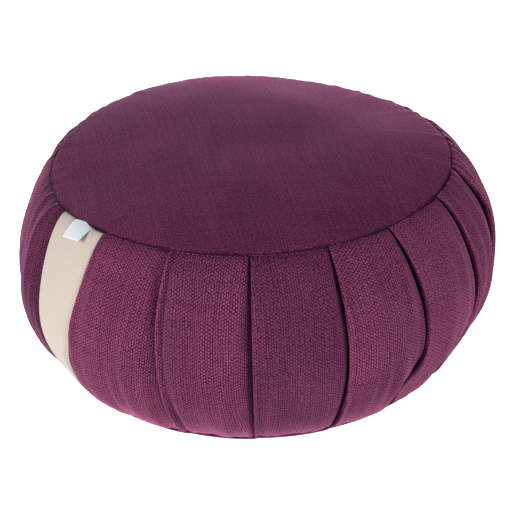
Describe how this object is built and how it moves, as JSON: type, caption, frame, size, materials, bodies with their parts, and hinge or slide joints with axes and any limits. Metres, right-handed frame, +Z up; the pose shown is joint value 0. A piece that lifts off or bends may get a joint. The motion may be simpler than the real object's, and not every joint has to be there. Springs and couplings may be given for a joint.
{
  "type": "zafu meditation cushion",
  "caption": "Round pleated floor cushion for sitting in meditation, with a crowned top, swelling pleated side, contrasting pleat and small blank side label.",
  "frame": {"origin": "on the floor under the middle of the cushion", "axes": "+Z up, -Y towards the front, with the contrasting pleat and label to the front left at -X -Y"},
  "size_m": [0.3593, 0.3594, 0.1745],
  "materials": {
    "plum_canvas": "matte coarse plain-weave cotton canvas",
    "cream_cotton": "matte fine plain-weave cotton",
    "label_tape": "smooth woven tape"
  },
  "bodies": {
    "root": {"filled_side": "plum_canvas", "top_panel": "plum_canvas", "bottom_panel": "plum_canvas", "accent_strip": "cream_cotton", "label": "label_tape"}
  },
  "joints": []
}
